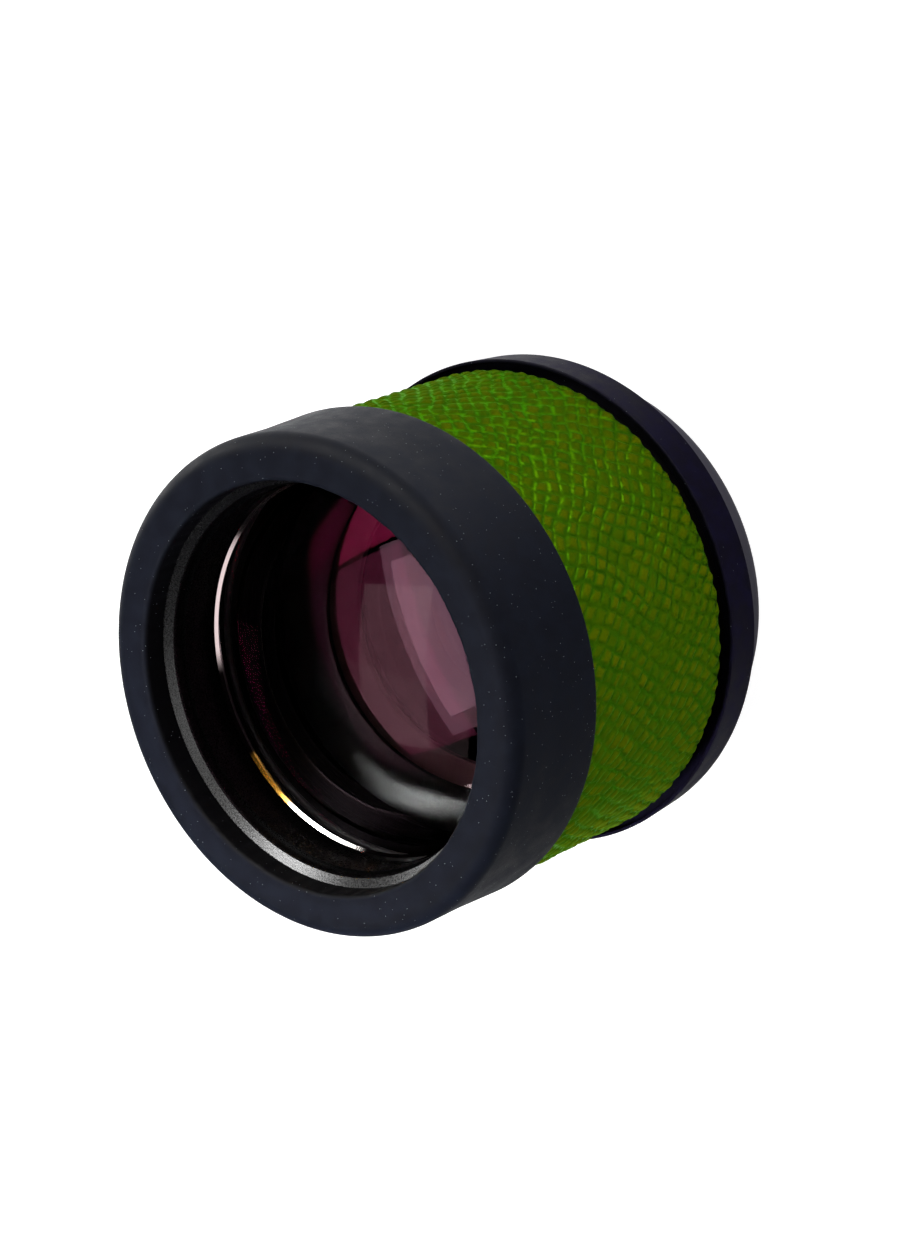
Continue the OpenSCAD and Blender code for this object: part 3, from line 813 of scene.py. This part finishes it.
def make_leather():
    """Grained leather wrap, butted at its seam on the hidden side, with a hand-cut rear edge."""
    length = 2 * math.pi * leather_r - LEATHER_SEAM_W
    width = leather_top - leather_low
    mesh = apply_tree(flat_leather(length, width), wrapping_tree(), {
        "Inner Radius": leather_r - LEATHER_T,
        "Outer Radius": leather_r,
        "Rear Edge": leather_low,
        "Width": width,
        "Seam Angle": LEATHER_SEAM_ANGLE,
        "Seam Width": LEATHER_SEAM_W,
        "Relief": LEATHER_RELIEF,
        "Cut Waviness": CUT_WAVINESS,
        "Leather": MATERIALS["green_leather"],
    })
    mesh.shade_smooth()
    mesh.set_sharp_from_angle(angle=LEATHER_CREASE)
    return add_piece("grained_leather_wrap", mesh, "housing", "green_leather", "leather_wrap")


# Floor and surroundings

FLOOR_REACH = 3.0
FLOOR_GREY = (0.45, 0.45, 0.45, 1.0)
FLOOR_ROUGHNESS = 0.9
FLOOR_GLOW = 0.9
FLOOR_IN_REFLECTIONS = 0.1
LAMP_SIDE_IN_REFLECTIONS = 2.2
LAMP_SIDE_X = (10.0, 35.0)
UNDER_LOUPE = 0.004
CONTACT_INNER = 4.0
CONTACT_OUTER = 1.0


def make_floor():
    """Pale floor: a soft matte white that keeps the shadow and still clips to white around it."""
    mesh = bpy.data.meshes.new("floor")
    corners = [(x * FLOOR_REACH, y * FLOOR_REACH, 0.0) for x, y in ((-1, -1), (1, -1), (1, 1), (-1, 1))]
    mesh.from_pydata(corners, [], [(0, 1, 2, 3)])
    floor = bpy.data.objects.new("floor", mesh)
    bpy.context.scene.collection.objects.link(floor)
    finish = Finish("pale_floor", Base_Color=FLOOR_GREY, Roughness=FLOOR_ROUGHNESS, Specular_IOR_Level=0.0,
                    Emission_Color=WHITE)
    path = finish.add("ShaderNodeLightPath").outputs
    place = finish.place()
    # Painted pool of light: seen in reflections the floor glows brighter on the lamps' side, towards +x, than
    # elsewhere.
    painted_pool = finish.ramp(finish.xyz(place)[0], *LAMP_SIDE_X, FLOOR_IN_REFLECTIONS,
                            LAMP_SIDE_IN_REFLECTIONS)
    mirrored = finish.math("MULTIPLY", path["Is Glossy Ray"], painted_pool)
    seen = finish.math("MAXIMUM", path["Is Camera Ray"], mirrored)
    seen = finish.math("MAXIMUM", seen, path["Is Transmission Ray"])
    out_from_axis = finish.vector("LENGTH", place)
    lit = finish.ramp(out_from_axis, end_r - CONTACT_INNER, end_r - CONTACT_OUTER, UNDER_LOUPE, FLOOR_GLOW)
    finish.feed("Emission Strength", finish.math("MULTIPLY", seen, lit))
    mesh.materials.append(finish.material)


WORLD_ON_SURFACES = 0.06


def make_world():
    """Surroundings that look white to the camera, light the surfaces a little and leave the glass black."""
    world = bpy.data.worlds.new("studio")
    bpy.context.scene.world = world
    world.use_nodes = True
    graph = Graph(world.node_tree)
    background = graph.tree.nodes["Background"]
    path = graph.add("ShaderNodeLightPath").outputs
    dim = graph.math("MULTIPLY", path["Is Diffuse Ray"], WORLD_ON_SURFACES)
    strength = graph.math("MAXIMUM", path["Is Camera Ray"], dim)
    graph.set(background.inputs["Color"], WHITE)
    graph.set(background.inputs["Strength"], strength)


# Camera

PHOTO_HEIGHT_PIXELS = 1238
FOCAL_PIXELS = 3400
SENSOR_MM = 36.0
NEAREST_SEEN = 0.01
CAMERA_PLACE = Vector((0.0, -0.22128, 0.27850))
IMAGE_RIGHT = Vector((-0.3717, -0.7013, -0.6082))
IMAGE_UP = Vector((0.9283, -0.2835, -0.2404))


def make_camera():
    """Camera at the photograph's angle: the loupe's axis slants to the image's lower left."""
    lens = bpy.data.cameras.new("camera")
    lens.sensor_width = SENSOR_MM
    lens.lens = FOCAL_PIXELS / PHOTO_HEIGHT_PIXELS * SENSOR_MM
    lens.clip_start = NEAREST_SEEN
    camera = bpy.data.objects.new("camera", lens)
    bpy.context.scene.collection.objects.link(camera)
    right = IMAGE_RIGHT.normalized()
    back = right.cross(IMAGE_UP).normalized()
    up = back.cross(right)
    camera.matrix_world = Matrix.Translation(CAMERA_PLACE) @ Matrix((right, up, back)).transposed().to_4x4()
    bpy.context.scene.camera = camera


# Lamps

AIM = Vector((0.0, 0.0, 0.026))
ALONG_X = (1.0, 0.0, 0.0)
ALONG_Y = (0.0, 1.0, 0.0)


def softbox(name, direction, distance, width, height, radiance, along=ALONG_X, colour=WHITE[:3]):
    """Rectangular lamp at a distance in mm along a direction from the loupe, facing it, its width along an
    axis. Its radiance is that of a white surface in plain light where it is 1."""
    lamp = bpy.data.lights.new(name, "AREA")
    lamp.shape = "RECTANGLE"
    lamp.size = width * MM
    lamp.size_y = height * MM
    lamp.energy = radiance * math.pi * lamp.size * lamp.size_y
    lamp.color = colour
    box = bpy.data.objects.new(name, lamp)
    bpy.context.scene.collection.objects.link(box)
    towards = Vector(direction).normalized()
    side = Vector(along)
    side = (side - towards * side.dot(towards)).normalized()
    turned = Matrix((side, towards.cross(side), towards)).transposed().to_4x4()
    box.matrix_world = Matrix.Translation(AIM + towards * distance * MM) @ turned
    box.visible_camera = False
    return box


def show_only(lamps, on_surfaces=False, as_reflections=False, through_glass=False):
    """Lets lamps light surfaces, show as reflections, or show to light that went through glass."""
    for lamp in lamps:
        lamp.visible_diffuse = on_surfaces
        lamp.visible_glossy = as_reflections
        lamp.visible_transmission = through_glass


def light_studio():
    """Cards that show as reflections on the outer faces, cards that show inside the glass, one that does
    both, two boxes that do everything, and fills that only light the surfaces."""
    outer_cards = [
        softbox("overhead_card", (0.02, 0.09, 0.99), 450, 290, 215, 3.4),
        softbox("overhead_haze_card", (0.02, 0.07, 0.99), 470, 380, 290, 2.2),
        softbox("edge_card", (-0.76, -0.35, 0.47), 500, 600, 200, 1.3, along=(0.61, -0.82, 0.32)),
        softbox("spark_card", (0.82, -0.27, 0.45), 420, 300, 120, 24.0, along=(-0.27, -0.5, 0.2)),
        softbox("warm_card", (0.51, -0.64, 0.575), 450, 110, 50, 20.0, along=(0.4, 0.3, 0.0),
                colour=(1.0, 0.66, 0.2)),
        softbox("rim_card", (-0.05, -0.52, 0.85), 450, 220, 100, 4.0),
        softbox("table_card", (0.62, -0.68, -0.2), 100, 70, 40, 5.0, along=(0.74, 0.67, 0.0)),
    ]
    inner_cards = [
        softbox("window_card", (0.055, -0.03, 0.996), 450, 360, 160, 1.1, along=(0.9, -0.436, 0.0)),
        softbox("slanted_card", (0.20, -0.16, 0.955), 450, 165, 380, 0.35, along=(0.83, -0.56, 0.0)),
        softbox("veil_card", (0.0, -0.06, 1.0), 620, 640, 320, 1.3, colour=(1.0, 0.2, 0.5)),
        softbox("crimson_card", (-0.58, 0.0, 0.81), 450, 110, 180, 3.0, colour=(1.0, 0.06, 0.3)),
        softbox("half_key_card", (0.64, -0.35, 0.69), 450, 50, 130, 14.0, along=ALONG_Y),
        softbox("low_key_card", (0.58, -0.45, 0.69), 450, 60, 130, 4.5, along=ALONG_Y),
    ]
    key_card = softbox("key_card", (0.74, -0.05, 0.67), 450, 210, 130, 40.0, along=ALONG_Y)
    softbox("side_box", (0.80, -0.45, 0.30), 420, 260, 220, 2.0, along=ALONG_Y)
    softbox("rake_box", (0.67, 0.73, 0.12), 420, 160, 90, 26.0, along=ALONG_Y)
    fills = [
        softbox("low_fill", (-0.45, -0.85, 0.25), 500, 300, 300, 2.5),
        softbox("front_fill", (0.3, -0.93, 0.2), 500, 300, 200, 5.0),
        softbox("near_fill", (-0.45, 0.45, 0.77), 110, 60, 60, 24.0),
    ]
    show_only(outer_cards, as_reflections=True)
    show_only(inner_cards, through_glass=True)
    show_only([key_card], as_reflections=True, through_glass=True)
    show_only(fills, on_surfaces=True)


make_camera()
bpy.context.scene.view_settings.view_transform = "Standard"
finish_frame()
make_guard()
make_collar()
make_leather()
make_front_doublet()
make_retainer_edge()
make_floor()
make_world()
light_studio()
